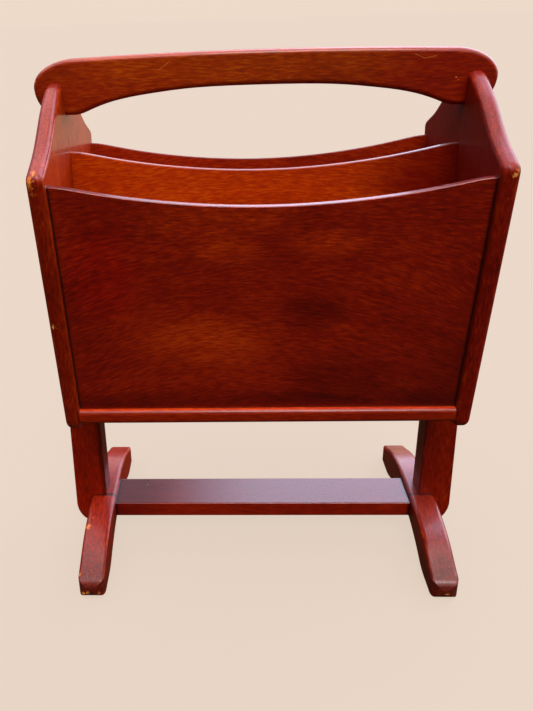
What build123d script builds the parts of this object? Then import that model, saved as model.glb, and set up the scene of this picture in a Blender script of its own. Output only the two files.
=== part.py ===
from build123d import *
import math
import os

# Wooden magazine rack, in millimetres, +Z up. The origin is on the floor under the middle of the
# rack. X runs along the carrying handle and -Y is the front. Two shaped end panels hold three
# dipped magazine panels and a bottom shelf, a handle is cross-lapped into their peaks, and a post
# carries each end down to an arched foot. A flat stretcher joins the feet.

# Overall layout
inner_width = 394.0            # between the inner faces of the end panels
end_thickness = 16.5
housing_depth = 5.0            # how far panels and shelf enter the end panels
edge_lean = 0.127              # outward lean of panels and end edges, per unit of height
half_inner = inner_width / 2
outer_face = half_inner + end_thickness
end_middle = half_inner + end_thickness / 2

# End panels
end_bottom = 195.0
crest_height = 552.0
shoulder_height = 482.5
shoulder_radius = 10.0
tip_radius = 13.0
end_edge_depth = 87.5          # half depth of the end panel at the shelf's top
end_rounding = 6.5

# Bottom shelf
shelf_top = 221.0
shelf_thickness = 16.0
shelf_half_depth = 86.0
shelf_tongue_half_depth = 74.0
shelf_rounding = 5.0           # front and rear edges
shelf_bottom = shelf_top - shelf_thickness

# Magazine panels
panel_thickness = 6.0
panel_face_depth = 80.0        # outer face of the leaning panels at the shelf's top
front_corner_rise = 250.8      # height of a panel's top corners above the shelf
rear_corner_rise = 247.5
divider_corner_rise = 259.5
panel_dip = 22.8
panel_rounding = 1.0

# Handle
handle_thickness = 18.5
handle_top = 576.5
handle_lap_height = 535.0      # the lap joint's meeting line
lobe_centre_height = 546.0
lobe_half_height = 27.0
lobe_end = 226.5
handle_rounding = 4.6

# Posts
post_inner_face = 192.4
post_depth = 28.5
post_base_reach = 231.5        # outer face low down
post_taper = 0.022             # how much the outer face draws in, per unit of height
post_top = 300.0
post_base_centre = 38.0        # height where the rounded lower end starts
post_base_drop = 28.0
post_top_radius = 7.0
post_rounding = 2.0

# Feet and stretcher
foot_inner_face = 180.6
foot_outer_face = 211.0
foot_crown = 52.5
foot_seat = 51.0               # flat seat for the post
foot_rounding = 4.6
toe_plan_radius = 13.0         # toe corners seen from above
stretcher_half_depth = 23.5
stretcher_bottom = 27.0
stretcher_thickness = 19.2
stretcher_top = stretcher_bottom + stretcher_thickness
stretcher_rounding = 1.5

# Dowels, which lie hidden inside the joints
dowel_radius = 4.0
dowel_easing = 0.6
handle_dowel_length = 36.0
shelf_dowel_middle = 193.0     # how far from the rack's middle the dowel is centred
shelf_dowel_depth = 45.0
shelf_dowel_length = 34.0
foot_dowel_middle = 202.0
foot_dowel_height = 57.0
foot_dowel_length = 36.0
stretcher_dowel_depth = 12.0
stretcher_dowel_height = 37.0
stretcher_dowel_length = 38.0

# Screws, and the plugs over the ones in the posts
screw_radius = 1.5
screw_head_radius = 3.2
screw_slot_width = 1.0
screw_slot_depth = 1.0
post_screw_heights = (232.0, 274.0)
post_screw_length = 16.0
foot_screw_height = 34.0
foot_screw_length = 30.0
panel_screw_spacing = 135.0
panel_screw_length = 30.0
plug_radius = 5.0
plug_depth = 5.0
plug_dome = 1.2

both_sides = (-1, 1)


def side_name(side):
    """Name for the end of the rack that a sign stands for."""
    return "left" if side < 0 else "right"


def edge_depth(height):
    """Half depth of an end panel at a height, on its straight leaning edge."""
    return end_edge_depth + (height - shelf_top) * edge_lean


def post_reach(height):
    """How far the post's outer face stands from the rack's middle at a height."""
    return post_base_reach - (height - post_base_centre) * post_taper


def block_between(width, depth, bottom, top):
    """Block centred on the Z axis, from one height up to another."""
    return Pos(0, 0, (bottom + top) / 2) * Box(width, depth, top - bottom)


def mirrored_face(half_outline):
    """Close a half outline with its mirror image into a flat face."""
    return make_face(half_outline + mirror(half_outline, Plane.YZ))


def quarter_ellipse(centre, across, up, start_angle):
    """Quarter of an ellipse, drawn anticlockwise from a start angle in degrees."""
    return EllipticalCenterArc(centre, across, up, start_angle, arc_size=90)


def round_rim(plate, axis, radius):
    """Round the outline of a plate on both of its broad faces."""
    faces = plate.faces().sort_by(axis)
    return fillet(faces[0].edges() + faces[-1].edges(), radius)


def place_on_side(solid, side):
    """Mirror a solid modelled for the right-hand end when the left one is wanted."""
    return solid if side > 0 else mirror(solid, Plane.YZ)


def dowel(length):
    """Fluteless dowel pin along Z, centred on the origin, with eased ends."""
    pin = Cylinder(dowel_radius, length)
    return chamfer(pin.edges(), dowel_easing)


def dowel_hole(length):
    """Space that a dowel fills."""
    return Cylinder(dowel_radius, length)


def screw_space(length):
    """Countersunk screw without its slot: head on top at the origin, point downwards."""
    head_depth = screw_head_radius - screw_radius
    point_depth = 2 * screw_radius
    outline = Polyline(
        (0, 0),
        (screw_head_radius, 0),
        (screw_radius, -head_depth),
        (screw_radius, point_depth - length),
        (0, -length),
        (0, 0),
    )
    return revolve(Plane.XZ * make_face(outline), Axis.Z)


def wood_screw(length):
    """Countersunk wood screw with a straight slot in its head."""
    slot = Box(3 * screw_head_radius, screw_slot_width, 2 * screw_slot_depth)
    return screw_space(length) - slot


def end_panel_blank():
    """Right end panel before its joints are cut: ogee top, leaning edges, rounded rim."""
    ogee_end = (105.0, 490.5)
    ogee = Spline(
        (0, crest_height),
        (26, 543.5),
        (46, 531.5),
        (68, 514),
        (88, 499.5),
        ogee_end,
        tangents=[(1, 0), (1, -0.48)],
    )
    sides = FilletPolyline(
        ogee_end,
        (edge_depth(shoulder_height), shoulder_height),
        (edge_depth(end_bottom), end_bottom),
        (0, end_bottom),
        radius=[shoulder_radius, tip_radius],
    )
    plate = extrude(Plane.YZ.offset(half_inner) * mirrored_face(ogee + sides), end_thickness)
    return round_rim(plate, Axis.X, end_rounding)


def panel_face(corner_rise):
    """Outline of a magazine panel: top dipped in the middle, housed tongues at both ends."""
    lowest = corner_rise - panel_dip
    reach = half_inner + housing_depth
    below_shelf = -panel_thickness
    dip = Spline(
        (0, lowest),
        (95, lowest + 0.258 * panel_dip),
        (150, lowest + 0.633 * panel_dip),
        (176, lowest + 0.871 * panel_dip),
        (half_inner, corner_rise),
        tangents=[(1, 0), (1, 0.03)],
    )
    rest = Polyline(
        (half_inner, corner_rise), (reach, corner_rise), (reach, below_shelf), (0, below_shelf)
    )
    return mirrored_face(dip + rest)


def magazine_panel(corner_rise, plane):
    """Panel lying in a plane whose origin is on the shelf, cut level where it meets the shelf."""
    plate = extrude(plane * panel_face(corner_rise), -panel_thickness)
    top_edges = plate.edges().filter_by(
        lambda edge: edge.center().Z > shelf_top + corner_rise / 2 and edge.length > half_inner / 2
    )
    plate = fillet(top_edges, panel_rounding)
    return plate - block_between(2 * inner_width, inner_width, 0, shelf_top)


def leaning_panel(corner_rise):
    """Front panel, leaning outwards from the shelf. Mirrored, it serves as the rear panel."""
    slope = math.atan(edge_lean)
    outward = (0, -math.cos(slope), -math.sin(slope))
    plane = Plane(origin=(0, -panel_face_depth, shelf_top), x_dir=(1, 0, 0), z_dir=outward)
    return magazine_panel(corner_rise / math.cos(slope), plane)


def centre_divider():
    """Upright panel between the two compartments."""
    plane = Plane(origin=(0, -panel_thickness / 2, shelf_top), x_dir=(1, 0, 0), z_dir=(0, -1, 0))
    return magazine_panel(divider_corner_rise, plane)


def bottom_shelf():
    """Shelf with rounded front and rear edges and a tongue at each end."""
    board = block_between(inner_width, 2 * shelf_half_depth, shelf_bottom, shelf_top)
    board = fillet(board.edges().filter_by(Axis.X), shelf_rounding)
    tongue_length = inner_width + 2 * housing_depth
    return board + block_between(
        tongue_length, 2 * shelf_tongue_half_depth, shelf_bottom, shelf_top
    )


def handle_blank():
    """Handle before the laps are cut: lobed ends, crowned top and an arched underside."""
    lobe_start = 183.3
    lobe_waist = 204.3
    arch_start = 189.0
    underside = lobe_centre_height - lobe_half_height
    crown = ThreePointArc(
        (-lobe_start, lobe_centre_height + lobe_half_height),
        (0, handle_top),
        (lobe_start, lobe_centre_height + lobe_half_height),
    )
    upper_lobe = quarter_ellipse(
        (lobe_start, lobe_centre_height), lobe_end - lobe_start, lobe_half_height, 0
    )
    lower_lobe = quarter_ellipse(
        (lobe_waist, lobe_centre_height), lobe_end - lobe_waist, lobe_half_height, 270
    )
    flat = Line((lobe_waist, underside), (arch_start, underside))
    arch = Spline(
        (arch_start, underside),
        (172, 523.5),
        (150, 531),
        (110, 538),
        (0, 543.5),
        tangents=[(-1, 0), (-1, 0)],
    )
    right_half = upper_lobe + lower_lobe + flat + arch
    outline = crown + right_half + mirror(right_half, Plane.YZ)
    plane = Plane.XZ.offset(-handle_thickness / 2)
    plate = extrude(plane * make_face(outline), handle_thickness)
    return round_rim(plate, Axis.Y, handle_rounding)


def post_blank():
    """Right post: shoulders under the shelf and on the foot, and lapping tongues outside both."""
    base = quarter_ellipse(
        (foot_outer_face, post_base_centre), post_base_reach - foot_outer_face, post_base_drop, 270
    )
    outside = FilletPolyline(
        (post_base_reach, post_base_centre),
        (post_reach(post_top), post_top),
        (outer_face, post_top),
        radius=[post_top_radius],
    )
    joints = Polyline(
        (outer_face, post_top),
        (outer_face, shelf_bottom),
        (post_inner_face, shelf_bottom),
        (post_inner_face, foot_seat),
        (foot_outer_face, foot_seat),
        (foot_outer_face, post_base_centre - post_base_drop),
    )
    plane = Plane.XZ.offset(-post_depth / 2)
    plate = extrude(plane * make_face(base + outside + joints), post_depth)
    inner_edges = plate.edges().filter_by(Axis.Z).group_by(Axis.X)[0]
    plate = fillet(inner_edges, post_rounding)
    rim = plate.edges().filter_by(
        lambda edge: edge.center().X > outer_face + post_rounding
        and abs(edge.center().Y) > 0.49 * post_depth
    )
    return fillet(rim, post_rounding)


def foot_blank():
    """Right foot: crowned top, rounded toes and an arched underside."""
    toe_tip = (126.5, 13.0)
    toe_pad = (116.0, 0.0)
    arch_start = (94.0, 0.0)
    top = Spline(
        (0, foot_crown),
        (30, 51.9),
        (60, 48.2),
        (88, 39.5),
        (112, 28.0),
        toe_tip,
        tangents=[(1, 0), (0, -1)],
    )
    toe = quarter_ellipse((toe_pad[0], toe_tip[1]), toe_tip[0] - toe_pad[0], toe_tip[1], 270)
    pad = Line(toe_pad, arch_start)
    arch = Spline(arch_start, (64, 8.5), (32, 19.0), (0, 22.5), tangents=[(-1, 0), (-1, 0)])
    face = mirrored_face(top + toe + pad + arch)
    width = foot_outer_face - foot_inner_face
    plate = extrude(Plane.YZ.offset(foot_inner_face) * face, width)
    plate = round_rim(plate, Axis.X, foot_rounding)
    plan = RectangleRounded(width, 2 * toe_tip[0], toe_plan_radius)
    column = extrude(plan, 2 * foot_crown, both=True)
    plate = plate & Pos(foot_inner_face + width / 2, 0, 0) * column
    seat_width = 2 * (foot_outer_face - post_inner_face)
    seat = block_between(seat_width, post_depth, foot_seat, foot_seat + foot_crown)
    return plate - Pos(foot_outer_face, 0, 0) * seat


def stretcher_blank():
    """Flat board between the feet with eased edges."""
    board = block_between(
        2 * foot_inner_face, 2 * stretcher_half_depth, stretcher_bottom, stretcher_top
    )
    return fillet(board.edges().filter_by(Axis.X), stretcher_rounding)


# Where the hidden dowels sit: position, direction and length of each, by node
lying = Rot(0, 90, 0)
shelf_middle = shelf_top - shelf_thickness / 2
dowel_places = {
    "handle_dowels": [
        (Pos(side * end_middle, 0, handle_lap_height), handle_dowel_length) for side in both_sides
    ],
    "shelf_dowels": [
        (Pos(side * shelf_dowel_middle, depth, shelf_middle) * lying, shelf_dowel_length)
        for side in both_sides
        for depth in (-shelf_dowel_depth, shelf_dowel_depth)
    ],
    "foot_dowels": [
        (Pos(side * foot_dowel_middle, 0, foot_dowel_height), foot_dowel_length)
        for side in both_sides
    ],
    "stretcher_dowels": [
        (Pos(side * foot_inner_face, depth, stretcher_dowel_height) * lying,
         stretcher_dowel_length)
        for side in both_sides
        for depth in (-stretcher_dowel_depth, stretcher_dowel_depth)
    ],
}


def from_outside(side, height):
    """Location on a post's outer face, with local +Z pointing outwards."""
    return Pos(side * post_reach(height), 0, height) * Rot(0, side * 90, 0)


plugged_screws = {
    "post_screws": [
        (from_outside(side, height), post_screw_length)
        for side in both_sides
        for height in post_screw_heights
    ],
    "foot_screws": [
        (from_outside(side, foot_screw_height), foot_screw_length) for side in both_sides
    ],
}

# The screws up through the shelf are centred in the part of each panel that they grip
screw_grip = panel_screw_length - shelf_thickness
panel_screw_depth = panel_face_depth - panel_thickness / 2 + edge_lean * screw_grip / 2
panel_screw_places = [
    Pos(along, depth, shelf_bottom) * Rot(180, 0, 0)
    for along in (-panel_screw_spacing, 0, panel_screw_spacing)
    for depth in (-panel_screw_depth, 0, panel_screw_depth)
]

screws = {"panel_screws": [place * wood_screw(panel_screw_length) for place in panel_screw_places]}
screw_holes = [place * screw_space(panel_screw_length) for place in panel_screw_places]
plugs = []
plug_sphere = (plug_radius**2 + plug_dome**2) / (2 * plug_dome)
for node, entries in plugged_screws.items():
    screws[node] = []
    for place, length in entries:
        sunk = place * Pos(0, 0, -plug_depth)
        screws[node].append(sunk * wood_screw(length))
        screw_holes.append(sunk * screw_space(length))
        plug_space = Cylinder(plug_radius, 2 * plug_depth)
        screw_holes.append(place * plug_space)
        dome = Pos(0, 0, plug_dome - plug_sphere) * Sphere(plug_sphere)
        plugs.append(place * (plug_space & dome))

dowels = {
    node: [place * dowel(length) for place, length in entries]
    for node, entries in dowel_places.items()
}
dowel_holes = [
    place * dowel_hole(length) for entries in dowel_places.values() for place, length in entries
]


def drilled(solid):
    """Cut every dowel, screw and plug hole that reaches a solid."""
    margin = 20.0              # more than half the length of the longest pin
    box = solid.bounding_box()
    for hole in dowel_holes + screw_holes:
        middle = hole.bounding_box().center()
        near = all(
            low - margin < value < high + margin
            for low, value, high in zip(tuple(box.min), tuple(middle), tuple(box.max))
        )
        if near:
            solid = solid - hole
    return solid


front = leaning_panel(front_corner_rise)
rear = mirror(leaning_panel(rear_corner_rise), Plane.XZ)
divider = centre_divider()
shelf = bottom_shelf()
stretcher = stretcher_blank()

handle = handle_blank()
handle_lap = block_between(end_thickness, 2 * handle_thickness, 0, handle_lap_height)
for side in both_sides:
    handle = handle - Pos(side * end_middle, 0, 0) * handle_lap

handle_slot = block_between(
    2 * end_thickness, handle_thickness, handle_lap_height, handle_top
)
post_notch = block_between(2 * end_thickness, post_depth, 0, shelf_bottom)
end_panel = end_panel_blank() - Pos(end_middle, 0, 0) * (handle_slot + post_notch)
for housed in (front, rear, divider, shelf):
    end_panel = end_panel - housed

post = post_blank()
foot = foot_blank()

nodes = {
    "handle": drilled(handle),
    "front_panel": drilled(front),
    "centre_divider": drilled(divider),
    "rear_panel": drilled(rear),
    "bottom_shelf": drilled(shelf),
    "stretcher": drilled(stretcher),
}
for side in both_sides:
    name = side_name(side)
    nodes["end_panel_" + name] = drilled(place_on_side(end_panel, side))
    nodes["post_" + name] = drilled(place_on_side(post, side))
    nodes["foot_" + name] = drilled(place_on_side(foot, side))

groups = {**dowels, **screws, "screw_plugs": plugs}
for node, pieces in groups.items():
    nodes[node] = Compound(children=pieces)

os.makedirs("parts", exist_ok=True)
for node, shape in nodes.items():
    export_step(shape, "parts/" + node + ".step")
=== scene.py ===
import math

import bpy
from mathutils import Matrix, Vector


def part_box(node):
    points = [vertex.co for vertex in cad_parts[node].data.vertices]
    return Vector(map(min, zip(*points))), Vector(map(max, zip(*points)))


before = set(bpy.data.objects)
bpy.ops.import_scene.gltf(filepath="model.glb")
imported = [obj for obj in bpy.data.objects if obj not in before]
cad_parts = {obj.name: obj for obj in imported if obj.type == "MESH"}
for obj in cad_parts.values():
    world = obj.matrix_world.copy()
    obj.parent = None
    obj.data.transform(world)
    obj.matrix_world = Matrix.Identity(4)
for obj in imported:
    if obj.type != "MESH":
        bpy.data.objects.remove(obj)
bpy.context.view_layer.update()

# ---------------------------------------------------------------- colours


def srgb(red, green, blue):
    """A display colour, 0 to 255, as the linear colour that shaders use."""
    def linear(value):
        value /= 255
        return value / 12.92 if value <= 0.04045 else ((value + 0.055) / 1.055) ** 2.4
    return tuple(linear(v) for v in (red, green, blue))


DARK_STAIN = srgb(70, 8, 1)
RED_STAIN = srgb(128, 24, 1)
ORANGE_STAIN = srgb(176, 62, 4)
GOLDEN_WOOD = srgb(206, 122, 40)
BARE_WOOD = srgb(226, 166, 98)
# the grime in dents, and also the colour of the painted shade at joints
DENT_GRIME_AND_JOINT_SHADE = srgb(26, 8, 5)
SCUFFED_DARK = srgb(58, 16, 6)

# Tints that a patch of the stain is multiplied by. The last is painted shade, for where parts meet.
UNTINTED = (1.0, 1.0, 1.0)
GOLDEN = (1.45, 2.6, 1.6)
REDDER = (1.0, 0.45, 0.5)
DARKER = (0.6, 0.4, 0.8)
JOINT_SHADE_TINT = (0.2, 0.15, 0.2)

PALE_BEIGE = srgb(237, 218, 201)
FLOOR_TINT = (0.045, 0.0405, 0.035)
FLOOR_GLOW = 0.835

# Light
WARM_WHITE = (1.0, 0.94, 0.86)
LAVENDER = (0.88, 0.83, 1.0)
BLUE_WHITE = (0.8, 0.8, 1.08)
ROSE_WHITE = (1.0, 0.86, 0.9)
TAN = (1.0, 0.78, 0.52)
AMBIENT_ORANGE = (1.0, 0.62, 0.35)
AMBIENT_STRENGTH = 0.05

# ---------------------------------------------------------------- node helpers


class Finish:
    """A material under construction, with short calls for the nodes it is made of."""

    def __init__(self, name):
        self.material = bpy.data.materials.new(name)
        self.material.use_nodes = True
        self.tree = self.material.node_tree
        self.tree.nodes.clear()
        output = self.tree.nodes.new("ShaderNodeOutputMaterial")
        self.shader = self.tree.nodes.new("ShaderNodeBsdfPrincipled")
        self.tree.links.new(self.shader.outputs[0], output.inputs["Surface"])
        self.place = self.tree.nodes.new("ShaderNodeTexCoord").outputs["Object"]
        self.facing = self.tree.nodes.new("ShaderNodeNewGeometry").outputs["Normal"]

    def put(self, socket, value):
        if isinstance(value, bpy.types.NodeSocket):
            self.tree.links.new(value, socket)
        else:
            socket.default_value = value

    def math(self, operation, a, b=0.0, clamp=False):
        node = self.tree.nodes.new("ShaderNodeMath")
        node.operation = operation
        node.use_clamp = clamp
        self.put(node.inputs[0], a)
        self.put(node.inputs[1], b)
        return node.outputs[0]

    def add(self, a, b):
        return self.math("ADD", a, b)

    def times(self, a, b):
        return self.math("MULTIPLY", a, b)

    def vector(self, operation, a, b=None, scale=None):
        node = self.tree.nodes.new("ShaderNodeVectorMath")
        node.operation = operation
        self.put(node.inputs[0], a)
        if b is not None:
            self.put(node.inputs[1], b)
        if scale is not None:
            self.put(node.inputs["Scale"], scale)
        gives_number = operation in ("LENGTH", "DISTANCE", "DOT_PRODUCT")
        return node.outputs["Value" if gives_number else "Vector"]

    def parts(self, vector):
        node = self.tree.nodes.new("ShaderNodeSeparateXYZ")
        self.put(node.inputs[0], vector)
        return list(node.outputs)

    def join(self, x, y, z):
        node = self.tree.nodes.new("ShaderNodeCombineXYZ")
        for socket, value in zip(node.inputs, (x, y, z)):
            self.put(socket, value)
        return node.outputs[0]

    def noise(self, vector, scale=1.0, detail=3.0, roughness=0.55, distortion=0.0):
        node = self.tree.nodes.new("ShaderNodeTexNoise")
        self.put(node.inputs["Vector"], vector)
        node.inputs["Scale"].default_value = scale
        node.inputs["Detail"].default_value = detail
        node.inputs["Roughness"].default_value = roughness
        node.inputs["Distortion"].default_value = distortion
        return node.outputs["Fac"]

    def step(self, value, low, high, to_low=0.0, to_high=1.0):
        """A smooth change from to_low to to_high as value goes from low to high."""
        node = self.tree.nodes.new("ShaderNodeMapRange")
        node.interpolation_type = "SMOOTHSTEP"
        self.put(node.inputs["Value"], value)
        node.inputs["From Min"].default_value = low
        node.inputs["From Max"].default_value = high
        node.inputs["To Min"].default_value = to_low
        node.inputs["To Max"].default_value = to_high
        return node.outputs["Result"]

    def ramp(self, value, stops):
        node = self.tree.nodes.new("ShaderNodeValToRGB")
        self.put(node.inputs[0], value)
        elements = node.color_ramp.elements
        while len(elements) < len(stops):
            elements.new(0.5)
        for element, (position, colour) in zip(elements, stops):
            element.position = position
            element.color = (*colour, 1.0)
        return node.outputs["Color"]

    def blend(self, amount, a, b, kind="MIX"):
        node = self.tree.nodes.new("ShaderNodeMix")
        node.data_type = "RGBA"
        node.blend_type = kind
        self.put(node.inputs["Factor"], amount)
        for socket, value in zip(node.inputs[6:8], (a, b)):
            self.put(socket, value if isinstance(value, bpy.types.NodeSocket) else (*value, 1.0))
        return node.outputs[2]

    def bump(self, height, distance, strength=1.0, below=None):
        node = self.tree.nodes.new("ShaderNodeBump")
        node.inputs["Strength"].default_value = strength
        node.inputs["Distance"].default_value = distance
        self.put(node.inputs["Height"], height)
        if below is not None:
            self.put(node.inputs["Normal"], below)
        return node.outputs["Normal"]

    def set(self, **constants):
        """Sets the shader's constant inputs, with underscores for the spaces in their names."""
        for name, value in constants.items():
            self.shader.inputs[name.replace("_", " ")].default_value = value


# ---------------------------------------------------------------- stained wood

AXIS = {"X": 0, "Y": 1, "Z": 2}

# Streaks along the fibres: features per metre along and across them, detail and roughness
BROAD_STREAKS = (6.0, 60.0, 3.0, 0.6)
FINE_STREAKS = (85.0, 620.0, 2.0, 0.65)
PORE_STREAKS = (90.0, 900.0, 2.0, 0.6)
PORE_THRESHOLD = (0.58, 0.68)
CLOUD_SCALE = 8.0

# How much each layer moves the tone, and the tones that the stain's colours stand at
BROAD_WEIGHT, FINE_WEIGHT, CLOUD_WEIGHT = 0.35, 1.25, 0.6
MIDDLE_TONE = 0.44
STAIN_TONES = [(0.0, DARK_STAIN), (0.42, RED_STAIN), (0.95, ORANGE_STAIN)]
PORE_DARKNESS = 0.45
BARE_TONES = [(0.0, ORANGE_STAIN), (0.55, GOLDEN_WOOD), (1.0, BARE_WOOD)]

# The fibres' wandering: features per metre along and across, and its width in metres
WANDER_ALONG, WANDER_ACROSS, WANDER_WIDTH = 6.0, 11.0, 0.014

# Arched figure flattens over this height below its top, to this share of the bend
ARCH_HEIGHT, ARCH_LEAST = 0.12, 0.1
NO_ARCH_TOP = 10.0

# How much the normal lies along the board's face axis, where its rims and arrises begin and end
RIM = (0.96, 0.75)
ARRIS_OUTER, ARRIS_INNER = (0.97, 0.8), (0.3, 0.65)
RUB_SCALE, RUB_THRESHOLD = 60.0, (0.5, 0.72)

# Wear: noise scales and thresholds, and the raggedness of spots as multiples of their radius
RAGGED_SCALE = 260.0
BLOTCH_SCALE, BLOTCH_THRESHOLD = 240.0, (0.42, 0.6)
SPECK_SCALE, SPECK_THRESHOLD = 620.0, (0.66, 0.72)
SCUFF_EVEN, SCUFF_BLOTCHED, SCUFF_SPECKED = 0.45, 0.4, 0.55
WORN_RAGGEDNESS, LINE_RAGGEDNESS = 3.5, 1.5
WORN_ROUGHNESS = 0.25

# A soft patch reaches its full strength inside its reach and ends outside it, shifted by the figure
PATCH_END, PATCH_FULL, PATCH_SHIFT = 1.25, 0.55, 0.5
# Where a ragged spot is whole, as a share of its radius
SPOT_CORE = 0.1

# Roughness that the lighter clouds and the pores add
CLOUD_ROUGHNESS, PORE_ROUGHNESS = 0.1, 0.1

# Relief in metres, and the strength of its bump
GRAIN_RELIEF, GRAIN_BUMP = 0.0001, 0.25
SWELL_SCALE, SWELL_RELIEF, SWELL_BUMP = 35.0, 0.0015, 0.1
WEAR_RELIEF, WEAR_BUMP = 0.0006, 0.6

WOOD_IOR = 1.27
LACQUER_IOR = 1.6


class Board(Finish):
    """Mahogany under a red-brown stain and lacquer. grain is the axis along the fibres and face the
    axis through the board. arch bends the figure into broad arches, flatter towards arch_top. The
    other methods each add a layer to the colour, roughness and bareness."""

    def __init__(self, name, grain, face, seed, arch, arch_top):
        super().__init__(name)
        self.axes = self.parts(self.place)
        along, through = self.axes[AXIS[grain]], self.axes[AXIS[face]]
        across = self.axes[3 - AXIS[grain] - AXIS[face]]
        self.turned = self.math("ABSOLUTE", self.parts(self.facing)[AXIS[face]])

        # the fibres' own coordinates, bent by the figure and wandering a little
        flattening = self.step(across, arch_top - ARCH_HEIGHT, arch_top, 1.0, ARCH_LEAST)
        bend = self.times(self.times(self.times(along, along), arch), flattening)
        wander_place = self.join(self.times(along, WANDER_ALONG), self.times(across, WANDER_ACROSS), seed)
        wander = self.times(self.noise(wander_place, detail=1.0), WANDER_WIDTH)
        self.fibres = self.join(self.add(along, seed), self.add(self.add(across, bend), wander), through)

        self.broad = self.streaks(*BROAD_STREAKS)
        self.fine = self.streaks(*FINE_STREAKS)
        self.pores = self.step(self.streaks(*PORE_STREAKS), *PORE_THRESHOLD)
        cloud_place = self.vector("ADD", self.place, (seed, seed * 0.7, 0.0))
        self.cloud = self.noise(cloud_place, CLOUD_SCALE, 3.0, 0.5, 0.5)
        self.ragged = self.noise(self.place, RAGGED_SCALE, 5.0, 0.75)
        self.bareness = 0.0

    def streaks(self, lengthwise, crosswise, detail, roughness):
        """Noise stretched along the fibres."""
        stretched = self.vector("MULTIPLY", self.fibres, (lengthwise, crosswise, crosswise))
        return self.noise(stretched, 1.0, detail, roughness)

    def near(self, point, reach):
        """One at a point, fading to nought at a distance given for each axis."""
        offset = self.vector("SUBTRACT", self.place, point)
        share = self.vector("LENGTH", self.vector("DIVIDE", offset, reach))
        return self.step(self.add(share, self.times(self.broad, PATCH_SHIFT)), PATCH_END, PATCH_FULL)

    def ragged_spot(self, distance, radius, raggedness, amount):
        """The amount where the distance is short, fading to nought at about the radius."""
        fraying = self.times(self.math("SUBTRACT", self.ragged, 0.5), radius * raggedness)
        return self.step(self.add(distance, fraying), radius, radius * SPOT_CORE, 0.0, amount)

    def stain(self, rough, contrast, tint, zones):
        """The grain's tones. zones are (point, reach, tint), soft patches of another tone; on some boards
        the zones and the tint are painted shade or painted light.
        """
        tone = MIDDLE_TONE
        layers = ((self.broad, BROAD_WEIGHT), (self.fine, FINE_WEIGHT), (self.cloud, CLOUD_WEIGHT))
        for layer, weight in layers:
            tone = self.add(tone, self.times(self.math("SUBTRACT", layer, 0.5), weight * contrast))
        colour = self.ramp(tone, STAIN_TONES)
        colour = self.blend(self.times(self.pores, PORE_DARKNESS * contrast), colour, DARK_STAIN)
        colour = self.blend(1.0, colour, tint, "MULTIPLY")
        for point, reach, zone_tint in zones:
            zone = self.blend(self.near(point, reach), UNTINTED, zone_tint)
            colour = self.blend(1.0, colour, zone, "MULTIPLY")
        self.colour = colour
        clouded = self.add(rough, self.times(self.cloud, CLOUD_ROUGHNESS))
        self.roughness = self.add(clouded, self.times(self.pores, PORE_ROUGHNESS))

    def rims(self, rim_wear, rim_painted_light):
        """Where the board turns from its face, painted light multiplied into the rims: lighter as a
        painted highlight on some boards, darker as painted shade on others. Arrises are also rubbed
        thinner.
        """
        if rim_painted_light is not None:
            tinted = self.blend(1.0, self.colour, rim_painted_light, "MULTIPLY")
            self.colour = self.blend(self.step(self.turned, *RIM), self.colour, tinted)
        arris = self.times(self.step(self.turned, *ARRIS_OUTER), self.step(self.turned, *ARRIS_INNER))
        rub = self.step(self.noise(self.place, RUB_SCALE, 5.0, 0.65), *RUB_THRESHOLD)
        self.colour = self.blend(self.times(self.times(arris, rub), rim_wear), self.colour, ORANGE_STAIN)

    def scuff(self, point, reach):
        """Dark blotches with a few light specks."""
        scuffed = self.near(point, reach)
        blotches = self.step(self.noise(self.place, BLOTCH_SCALE, 4.0, 0.7), *BLOTCH_THRESHOLD)
        dark = self.add(self.times(blotches, SCUFF_BLOTCHED), SCUFF_EVEN)
        self.colour = self.blend(self.times(scuffed, dark), self.colour, SCUFFED_DARK)
        specks = self.step(self.noise(self.place, SPECK_SCALE, 2.0, 0.6), *SPECK_THRESHOLD)
        light = self.times(specks, SCUFF_SPECKED)
        self.colour = self.blend(self.times(scuffed, light), self.colour, GOLDEN_WOOD)
        self.roughness = self.add(self.roughness, self.times(scuffed, WORN_ROUGHNESS))

    def wear(self, worn, scratches):
        """worn are (point, radius, amount) and scratches (start, end, half width, amount)."""
        for point, radius, amount in worn:
            distance = self.vector("DISTANCE", self.place, point)
            patch = self.ragged_spot(distance, radius, WORN_RAGGEDNESS, amount)
            self.bareness = self.math("MAXIMUM", self.bareness, patch)
        for start, end, half_width, amount in scratches:
            run = Vector(end) - Vector(start)
            offset = self.vector("SUBTRACT", self.place, start)
            share = self.vector("DOT_PRODUCT", offset, tuple(run / run.length_squared))
            nearest = self.vector("SCALE", tuple(run), scale=self.math("MULTIPLY", share, 1.0, clamp=True))
            distance = self.vector("DISTANCE", offset, nearest)
            patch = self.ragged_spot(distance, half_width, LINE_RAGGEDNESS, amount)
            self.bareness = self.math("MAXIMUM", self.bareness, patch)
        if worn or scratches:
            bare = self.ramp(self.bareness, BARE_TONES)
            self.colour = self.blend(self.step(self.bareness, 0.0, 0.5), self.colour, bare)
            self.roughness = self.add(self.roughness, self.times(self.bareness, WORN_ROUGHNESS))

    def dent(self, point, radius, amount):
        """A grimy spot, sunk a little."""
        distance = self.vector("DISTANCE", self.place, point)
        dented = self.ragged_spot(distance, radius, LINE_RAGGEDNESS, amount)
        self.colour = self.blend(dented, self.colour, DENT_GRIME_AND_JOINT_SHADE)
        self.bareness = self.math("MAXIMUM", self.bareness, dented)

    def shade(self, axis, start, end, amount):
        """Painted shade where the board meets another part: it sets in as the distance from the rack's
        middle goes from start to end.
        """
        painted_shade = self.step(self.math("ABSOLUTE", self.axes[AXIS[axis]]), start, end, 0.0, amount)
        self.colour = self.blend(painted_shade, self.colour, DENT_GRIME_AND_JOINT_SHADE)

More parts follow.
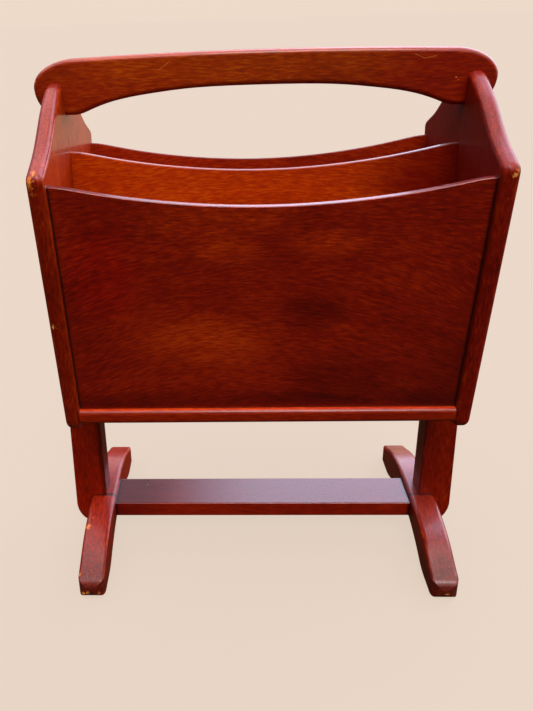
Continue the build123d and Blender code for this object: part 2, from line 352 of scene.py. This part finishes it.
    def lacquer(self, gloss, haze):
        """The clear coat over it all: gloss is its weight and haze its roughness. Then the relief."""
        self.put(self.shader.inputs["Base Color"], self.colour)
        self.put(self.shader.inputs["Roughness"], self.roughness)
        self.set(IOR=WOOD_IOR, Coat_Weight=gloss, Coat_Roughness=haze, Coat_IOR=LACQUER_IOR)
        height = self.math("SUBTRACT", self.times(self.fine, 0.5), self.pores)
        normal = self.bump(height, GRAIN_RELIEF, GRAIN_BUMP)
        normal = self.bump(self.noise(self.place, SWELL_SCALE, 3.0), SWELL_RELIEF, SWELL_BUMP, normal)
        if self.bareness != 0.0:
            hollow = self.math("SUBTRACT", 1.0, self.bareness)
            normal = self.bump(hollow, WEAR_RELIEF, WEAR_BUMP, normal)
        self.put(self.shader.inputs["Normal"], normal)


def stained_wood(name, grain, face, seed, arch=0.0, arch_top=NO_ARCH_TOP, tint=UNTINTED, contrast=1.0,
                 zones=(), worn=(), scratches=(), scuffs=(), dents=(), shade=None,
                 gloss=0.6, haze=0.1, rough=0.33, rim_wear=0.5, rim_painted_light=None):
    """One board's material. Board and its methods say what the settings mean. scuffs, dents and shade
    hold the arguments of the methods with those names."""
    board = Board(name, grain, face, seed, arch, arch_top)
    board.stain(rough, contrast, tint, zones)
    board.rims(rim_wear, rim_painted_light)
    for scuff in scuffs:
        board.scuff(*scuff)
    board.wear(worn, scratches)
    for dent in dents:
        board.dent(*dent)
    if shade is not None:
        board.shade(*shade)
    board.lacquer(gloss, haze)
    return board.material


# ---------------------------------------------------------------- the other finishes


def plain_wood(name, light, dark, rough):
    f = Finish(name)
    tone = f.noise(f.vector("MULTIPLY", f.place, (300.0, 60.0, 300.0)), 1.0, 4.0)
    f.put(f.shader.inputs["Base Color"], f.ramp(tone, [(0.3, dark), (0.7, light)]))
    f.put(f.shader.inputs["Roughness"], f.add(rough, f.times(tone, 0.1)))
    f.put(f.shader.inputs["Normal"], f.bump(tone, 0.0002, 0.4))
    return f.material


def screw_steel(name):
    f = Finish(name)
    tone = f.noise(f.place, 900.0, 4.0)
    steel = f.ramp(tone, [(0.3, srgb(96, 84, 70)), (0.7, srgb(168, 158, 144))])
    f.put(f.shader.inputs["Base Color"], steel)
    f.put(f.shader.inputs["Roughness"], f.add(0.3, f.times(tone, 0.2)))
    f.put(f.shader.inputs["Normal"], f.bump(tone, 0.0001, 0.3))
    f.set(Metallic=1.0)
    return f.material


def floor_finish(name):
    f = Finish(name)
    f.set(Base_Color=(*FLOOR_TINT, 1), Roughness=0.9, Specular_IOR_Level=0.0)
    f.set(Emission_Color=(*PALE_BEIGE, 1), Emission_Strength=FLOOR_GLOW)
    return f.material


# ---------------------------------------------------------------- places on the boards


def spot(node, across, depth, height):
    """A point in a node's box, from three shares of its sides."""
    low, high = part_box(node)
    shares = (across, depth, height)
    return tuple(low[i] + shares[i] * (high[i] - low[i]) for i in range(3))


def spots(node, *rows):
    """Rows of (across, depth, height, settings...) with the three shares turned into a point."""
    return [(spot(node, *row[:3]), *row[3:]) for row in rows]


def scratch(node, start, end, half_width, amount):
    return (spot(node, *start), spot(node, *end), half_width, amount)


def against_post(foot):
    """A line of painted shade on a foot's top where it meets the front of its post."""
    middle = spot(foot, 0.5, 0.5, 0.9)
    post_front = spot("post_left", 0.5, 0.0, 0.0)[1]
    return ((middle[0], post_front, middle[2]), (1.0, 0.0035, 1.0), JOINT_SHADE_TINT)


foot_inside = -spot("foot_left", 1.0, 0.5, 0.5)[0]

# ---------------------------------------------------------------- finishes on the boards

finishes = {
    "handle": stained_wood(
        "handle_wood", "X", "Y", 1.7, tint=(0.95, 1.25, 0.6), contrast=0.75, gloss=0.4,
        zones=spots("handle",
                    (0.47, 0, 0.85, (0.2, 0.1, 0.04), GOLDEN),
                    (0.22, 0, 0.55, (0.12, 0.1, 0.05), (1.25, 1.3, 1.0)),
                    (0.95, 0, 0.5, (0.12, 0.1, 0.1), (1.0, 0.6, 0.6))),
        worn=spots("handle",
                   (0.0, 0.12, 0.42, 0.0022, 0.8),
                   (0.004, 0.1, 0.6, 0.0022, 0.6),
                   (0.012, 0.1, 0.72, 0.0018, 0.6),
                   (0.91, 0, 0.47, 0.0012, 0.6),
                   (0.915, 0, 0.42, 0.0009, 0.5)),
        scratches=[scratch("handle", (0.302, 0, 0.86), (0.276, 0, 0.72), 0.0004, 0.45),
                   scratch("handle", (0.82, 0, 0.86), (0.84, 0, 0.79), 0.0007, 0.35),
                   scratch("handle", (0.84, 0, 0.79), (0.865, 0, 0.82), 0.0007, 0.35)],
        dents=spots("handle", (0.27, 0, 0.9, 0.0009, 0.7))),
    "front_panel": stained_wood(
        "front_veneer", "X", "Y", 4.1, arch=1.2, arch_top=0.46, tint=(1.0, 0.62, 0.4),
        # the rim tint shifts the edges towards the bluish reflected highlight as a painted reflection;
        # shade paints a line of shade where the panel meets the end panels
        rim_painted_light=(0.5, 0.45, 1.2), shade=("X", 0.1935, 0.1965, 0.9),
        zones=spots("front_panel",
                    (0.36, 0, 0.34, (0.09, 1, 0.042), GOLDEN),
                    (0.41, 0, 0.73, (0.05, 1, 0.02), GOLDEN),
                    (0.39, 0, 0.87, (0.1, 1, 0.03), GOLDEN),
                    (0.64, 0, 0.76, (0.05, 1, 0.02), GOLDEN),
                    (0.11, 0, 0.65, (0.05, 1, 0.07), REDDER),
                    (0.68, 0, 0.14, (0.08, 1, 0.045), DARKER),
                    # painted shade in the bottom right corner, from the right end panel
                    (1.0, 0, 0.05, (0.1, 1, 0.1), DARKER),
                    (0.61, 0, 0.47, (0.05, 1, 0.03), DARKER),
                    (0.5, 0, 0.0, (0.6, 1, 0.03), DARKER)),
        dents=spots("front_panel",
                    (0.085, 0, 0.17, 0.0016, 0.8),
                    (0.655, 0.05, 0.925, 0.0016, 0.8))),
    "centre_divider": stained_wood(
        # the tint brightens this veneer as painted light, for the light it gets from above; the rim tint
        # takes its edges towards the bluish reflected highlight as a painted reflection
        "divider_veneer", "X", "Y", 7.9, arch=0.5, tint=(2.0, 3.6, 0.4), contrast=0.7, gloss=0.3,
        rim_painted_light=(0.45, 0.4, 1.0),
        # the zone darkens the right end as the painted shadow of the right end panel
        zones=spots("centre_divider", (1.0, 0, 0.9, (0.13, 1, 0.3), (0.4, 0.15, 0.5)))),
    "rear_panel": stained_wood(
        "rear_veneer", "X", "Y", 2.3, arch=0.6, tint=(1.05, 1.1, 0.3), contrast=0.8, gloss=0.05,
        # the rim tint darkens the top edge as painted shade, to subdue its highlight
        rim_painted_light=(0.5, 0.5, 0.5)),
    "bottom_shelf": stained_wood(
        "shelf_wood", "X", "Z", 3.1, tint=(2.2, 2.9, 1.0), contrast=0.6, gloss=0.35,
        # the rim tint keeps the nosing's front darker than the top, as painted shade
        rim_wear=0.4, rim_painted_light=(0.42, 0.28, 0.8)),
    "stretcher": stained_wood(
        "stretcher_wood", "X", "Z", 5.3, tint=(0.45, 0.35, 0.5), contrast=0.6, gloss=0.75, rough=0.22,
        # the rim tint lightens the front and arrises as a painted highlight; shade paints shade where the
        # stretcher meets the feet
        rim_painted_light=(2.4, 2.0, 1.5), shade=("X", foot_inside - 0.005, foot_inside - 0.001, 0.85),
        # the zone darkens the left end as painted shade
        zones=spots("stretcher", (0.0, 0.5, 0.5, (0.08, 1, 1), (0.6, 0.35, 0.6))),
        worn=spots("stretcher", (0.1, 0.75, 1, 0.0008, 0.8)),
        dents=spots("stretcher",
                    (0.87, 0.4, 1, 0.0013, 0.9),
                    (0.88, 0.36, 1, 0.0011, 0.7))),
    "end_panel_left": stained_wood(
        # the tint brightens this end as painted light, for the light from the right; the rim tint tones
        # that painted light down on its rims
        "left_end_wood", "Z", "X", 6.1, tint=(1.35, 1.9, 0.2), gloss=0.3, rim_painted_light=(0.65, 0.4, 0.8),
        worn=spots("end_panel_left",
                   (0.45, 0.025, 0.822, 0.004, 0.75),
                   (0.3, 0.012, 0.8, 0.005, 0.6),
                   (0.2, 0.0, 0.785, 0.006, 0.5),
                   (0.32, 0.0, 0.765, 0.004, 0.4),
                   (0.3, 0.075, 0.375, 0.003, 1.0)),
        scratches=[scratch("end_panel_left", (0.3, 0.083, 0.39), (0.3, 0.07, 0.365), 0.0013, 1.0)],
        dents=spots("end_panel_left",
                    (0.33, 0.1, 0.845, 0.0018, 0.9),
                    (0.4, 0.125, 0.856, 0.0018, 0.9),
                    (0.43, 0.15, 0.866, 0.0014, 0.8))),
    "end_panel_right": stained_wood(
        # the tint darkens this end as painted shade, as it is turned from the light; the rim tint lightens
        # its rims back as painted light
        "right_end_wood", "Z", "X", 8.3, tint=(0.5, 0.3, 0.2), gloss=0.15, rough=0.4,
        rim_painted_light=(1.6, 1.5, 1.2),
        worn=spots("end_panel_right",
                   (0.62, 0.0, 0.79, 0.0035, 0.8),
                   (0.75, 0.002, 0.8, 0.0035, 0.6)),
        scratches=[scratch("end_panel_right", (0.5, 0.01, 0.73), (0.52, 0.012, 0.7), 0.0006, 0.6)]),
    "post_left": stained_wood(
        "left_post_wood", "Z", "Y", 9.7, tint=(1.3, 1.0, 0.4), contrast=0.8, gloss=0.3,
        # the zone darkens the post's inner face as painted shade
        zones=spots("post_left", (1.0, 0.5, 0.5, (0.008, 1, 1), (0.35, 0.4, 0.4))),
        worn=spots("post_left", (1.0, 0.76, 0.284, 0.0012, 1.0))),
    "post_right": stained_wood(
        "right_post_wood", "Z", "Y", 10.9, tint=(0.88, 0.6, 0.4), gloss=0.3),
    "foot_left": stained_wood(
        "left_foot_wood", "Y", "X", 12.1, tint=(0.85, 0.6, 0.5), gloss=0.32, haze=0.2, rough=0.34,
        # the zone from against_post is painted shade where the post stands on the foot
        zones=[against_post("foot_left")],
        scuffs=spots("foot_left", (0.5, 0.03, 0.3, (0.03, 0.05, 0.03))),
        worn=spots("foot_left",
                   (0.12, 0.245, 0.9, 0.0045, 0.42),
                   (0.26, 0.293, 0.944, 0.003, 0.35),
                   (0.485, 0.073, 0.54, 0.0016, 0.6),
                   (0.067, 0.046, 0.47, 0.003, 0.5),
                   (0.5, 0.055, 0.5, 0.0022, 0.5),
                   (0.2, 0.004, 0.16, 0.0035, 0.7),
                   (0.37, 0.0, 0.2, 0.004, 0.65),
                   (0.6, 0.0, 0.12, 0.003, 0.7),
                   (0.8, 0.004, 0.16, 0.003, 0.6))),
    "foot_right": stained_wood(
        "right_foot_wood", "Y", "X", 13.3, tint=(0.7, 0.5, 0.4), gloss=0.47, haze=0.2, rough=0.34,
        # the zone from against_post is painted shade where the post stands on the foot
        zones=[against_post("foot_right")],
        scuffs=spots("foot_right", (0.5, 0.03, 0.35, (0.03, 0.06, 0.035))),
        worn=spots("foot_right",
                   (0.545, 0.0, 0.2, 0.003, 0.6),
                   (0.75, 0.002, 0.12, 0.003, 0.7),
                   (0.3, 0.004, 0.5, 0.0025, 0.4),
                   (0.03, 0.2, 0.85, 0.003, 0.45))),
}
dowel_finish = plain_wood("dowel_beech", srgb(214, 176, 128), srgb(176, 132, 84), 0.6)
plug_finish = plain_wood("plug_stained", srgb(120, 32, 10), srgb(70, 14, 5), 0.35)
screw_finish = screw_steel("screw_steel_worn")


def finish_for(node_name):
    if "screws" in node_name:
        return screw_finish
    if "plugs" in node_name:
        return plug_finish
    return finishes.get(node_name, dowel_finish)


for node_name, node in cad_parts.items():
    node.data.materials.clear()
    node.data.materials.append(finish_for(node_name))

# ---------------------------------------------------------------- floor, light and camera


def floor():
    """A wide disc whose far edge fades into the backdrop. It takes light but throws none on the rack."""
    bpy.ops.mesh.primitive_circle_add(vertices=128, radius=30, fill_type="NGON", location=(0, 0, 0))
    disc = bpy.context.object
    disc.name = "floor"
    disc.data.materials.append(floor_finish("floor_matt"))
    disc.visible_diffuse = False
    disc.visible_glossy = False


def direction(azimuth, elevation):
    """A unit vector. Azimuth 0 points along +Y, away from the rack's front, and 90 along +X."""
    turn, rise = math.radians(azimuth), math.radians(elevation)
    return (math.sin(turn) * math.cos(rise), math.cos(turn) * math.cos(rise), math.sin(rise))


def studio(seen_colour, ambient_strength, ambient_colour, glows):
    """The room: a plain backdrop for the camera, and for the light a dim room with broad soft glows.
    Each glow is (azimuth, elevation, radius and soft edge in degrees, strength, colour)."""
    world = bpy.data.worlds.new("studio")
    bpy.context.scene.world = world
    world.use_nodes = True
    tree = world.node_tree
    tree.nodes.clear()

    def background(colour, strength):
        node = tree.nodes.new("ShaderNodeBackground")
        node.inputs["Color"].default_value = (*colour, 1)
        node.inputs["Strength"].default_value = strength
        return node

    seen = background(seen_colour, 1.0)
    total = background(ambient_colour, ambient_strength)
    towards = tree.nodes.new("ShaderNodeTexCoord").outputs["Generated"]
    for azimuth, elevation, radius, edge, strength, colour in glows:
        facing = tree.nodes.new("ShaderNodeVectorMath")
        facing.operation = "DOT_PRODUCT"
        tree.links.new(towards, facing.inputs[0])
        facing.inputs[1].default_value = direction(azimuth, elevation)
        fade = tree.nodes.new("ShaderNodeMapRange")
        fade.interpolation_type = "SMOOTHSTEP"
        tree.links.new(facing.outputs["Value"], fade.inputs["Value"])
        fade.inputs["From Min"].default_value = math.cos(math.radians(radius + edge))
        fade.inputs["From Max"].default_value = math.cos(math.radians(radius))
        fade.inputs["To Max"].default_value = strength
        glow = background(colour, 1.0)
        tree.links.new(fade.outputs["Result"], glow.inputs["Strength"])
        both = tree.nodes.new("ShaderNodeAddShader")
        tree.links.new(total.outputs[0], both.inputs[0])
        tree.links.new(glow.outputs[0], both.inputs[1])
        total = both
    path = tree.nodes.new("ShaderNodeLightPath")
    mix = tree.nodes.new("ShaderNodeMixShader")
    output = tree.nodes.new("ShaderNodeOutputWorld")
    tree.links.new(path.outputs["Is Camera Ray"], mix.inputs[0])
    tree.links.new(total.outputs[0], mix.inputs[1])
    tree.links.new(seen.outputs[0], mix.inputs[2])
    tree.links.new(mix.outputs[0], output.inputs["Surface"])


CAMERA_PLACE = (-0.03878, -0.68350, 0.61818)
CAMERA_PITCH, CAMERA_YAW, CAMERA_ROLL = 0.3748326, -0.0475480, -0.0343928    # radians, pitch downwards
CAMERA_LENS = 33.836
CAMERA_SHIFT = (0.0987, -0.1230)


def camera():
    flat = math.cos(CAMERA_PITCH)
    ahead = Vector((math.sin(CAMERA_YAW) * flat, math.cos(CAMERA_YAW) * flat, -math.sin(CAMERA_PITCH)))
    right = Vector((math.cos(CAMERA_YAW), -math.sin(CAMERA_YAW), 0))
    up = right.cross(ahead)
    across = math.cos(CAMERA_ROLL) * right + math.sin(CAMERA_ROLL) * up
    upward = math.cos(CAMERA_ROLL) * up - math.sin(CAMERA_ROLL) * right
    turn = Matrix((across, upward, -ahead)).transposed()
    data = bpy.data.cameras.new("camera")
    data.lens = CAMERA_LENS
    data.shift_x, data.shift_y = CAMERA_SHIFT
    data.clip_start = 0.01
    holder = bpy.data.objects.new("camera", data)
    holder.matrix_world = Matrix.Translation(CAMERA_PLACE) @ turn.to_4x4()
    bpy.context.scene.collection.objects.link(holder)
    bpy.context.scene.camera = holder


floor()
studio(PALE_BEIGE, AMBIENT_STRENGTH, AMBIENT_ORANGE, [
    (-90, 68, 25, 20, 3.2, ROSE_WHITE),     # over the rack
    (40, 36, 28, 10, 4.6, BLUE_WHITE),      # behind it, to the right
    (80, 30, 20, 20, 1.8, WARM_WHITE),      # beside it, on the right
    (20, -4, 9, 8, 0.8, TAN),               # low behind it, as ground would be
    (-30, 28, 18, 14, 0.6, BLUE_WHITE),     # behind it, to the left
    (-12, 20, 6, 10, 1.9, ROSE_WHITE),      # a low bright band behind it, left half
    (6, 21, 6, 10, 2.3, LAVENDER),          # and right half
    (145, 54, 24, 14, 1.8, WARM_WHITE),     # in front, above the camera
    (165, 58, 7, 6, 12.0, ROSE_WHITE),      # a lamp within that
])
camera()
bpy.context.scene.view_settings.view_transform = "Standard"
